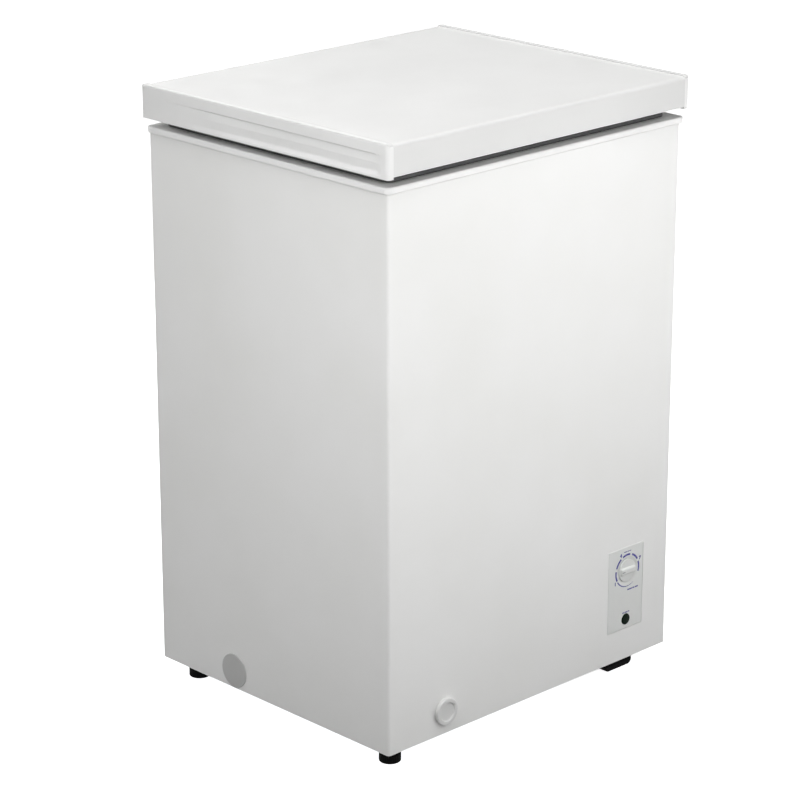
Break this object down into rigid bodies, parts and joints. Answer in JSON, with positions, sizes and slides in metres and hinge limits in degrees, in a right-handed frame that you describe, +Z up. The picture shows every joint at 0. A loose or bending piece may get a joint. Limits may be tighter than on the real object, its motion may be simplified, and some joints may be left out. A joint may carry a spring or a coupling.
{
  "type": "chest freezer",
  "caption": "Small chest freezer with a hinged foam-filled lid, a stepped store over its machine room, a front thermostat dial and drain, and a hanging wire basket.",
  "frame": {"origin": "on the floor, under the centre of the whole freezer", "axes": "+Z up, the front faces -Y, +X to the right of someone who faces the front"},
  "size_m": [0.561, 0.495, 0.85],
  "materials": {
    "white_steel": "gloss",
    "white_plastic": "satin",
    "panel_plastic": "satin",
    "knob_plastic": "satin",
    "lamp_plastic": "gloss",
    "seal_rubber": "matte",
    "black_plastic": "matte",
    "black_rubber": "matte",
    "foam": "matte",
    "embossed_aluminium": "satin",
    "galvanised_steel": "satin",
    "black_steel": "satin",
    "copper": "satin",
    "zinc_screw": "satin",
    "dark_screw": "satin",
    "coated_wire": "gloss"
  },
  "bodies": {
    "cabinet": {"outer_wrapper": "white_steel", "rear_panel": "white_steel", "bottom_panel": "galvanised_steel", "machine_room_lining": "galvanised_steel", "inner_liner": "embossed_aluminium", "drain_tube": "white_plastic", "evaporator_coil": "embossed_aluminium", "condenser_coil": "copper", "cabinet_foam": "foam", "top_collar": "white_plastic", "side_cap": "white_plastic", "control_panel": "panel_plastic", "thermostat_body": "galvanised_steel", "thermostat_terminals": "zinc_screw", "sensor_capillary": "copper", "indicator_lens": "lamp_plastic", "indicator_lamp": "white_plastic", "compressor_base_plate": "black_steel", "compressor_grommets": "black_rubber", "compressor": "black_steel", "compressor_bolts": "zinc_screw", "compressor_terminal_box": "black_plastic", "suction_pipe": "copper", "discharge_pipe": "copper", "process_tube": "copper", "filter_drier": "copper", "rear_grille": "white_steel", "power_cord_gland": "black_plastic", "grille_screws": "zinc_screw", "wall_spacers": "black_plastic", "foot_front_left": "black_plastic", "foot_rear_left": "black_plastic", "foot_front_right": "black_plastic", "foot_rear_right": "black_plastic", "base_plate_screws": "dark_screw", "hinge_brackets": "white_steel", "hinge_pins": "zinc_screw", "hinge_screws": "zinc_screw"},
    "lid": {"lid_side_trim_left": "white_plastic", "lid_side_trim_right": "white_plastic", "lid_outer_sheet": "white_steel", "lid_inner_liner": "white_plastic", "lid_foam": "foam", "lid_gasket": "seal_rubber", "hinge_leaves": "white_steel", "leaf_screws": "zinc_screw"},
    "knob": {"thermostat_knob": "knob_plastic"},
    "drain_plug_body": {"drain_plug": "white_plastic"},
    "stopper": {"drain_stopper": "white_plastic"},
    "basket": {"basket_floor": "coated_wire", "basket_left_side": "coated_wire", "basket_right_side": "coated_wire", "basket_front_end": "coated_wire", "basket_rear_end": "coated_wire", "basket_hangers": "coated_wire"}
  },
  "joints": [
    {"name": "lid_hinge", "type": "hinge", "parent": "cabinet", "child": "lid", "pos_m": [0, 0.2295, 0.8], "axis": [-1, 0, 0], "range_deg": [0, 85]},
    {"name": "knob_turn", "type": "hinge", "parent": "cabinet", "child": "knob", "pos_m": [0.1875, -0.2395, 0.161], "axis": [0, -1, 0], "range_deg": [-135, 135]},
    {"name": "drain_plug_pull", "type": "slide", "parent": "cabinet", "child": "drain_plug_body", "axis": [0, -1, 0], "range_m": [0, 0.03]},
    {"name": "stopper_lift", "type": "slide", "parent": "cabinet", "child": "stopper", "axis": [0, 0, 1], "range_m": [0, 0.03]},
    {"name": "basket_slide", "type": "slide", "parent": "cabinet", "child": "basket", "axis": [-1, 0, 0], "range_m": [0, 0.265]}
  ]
}
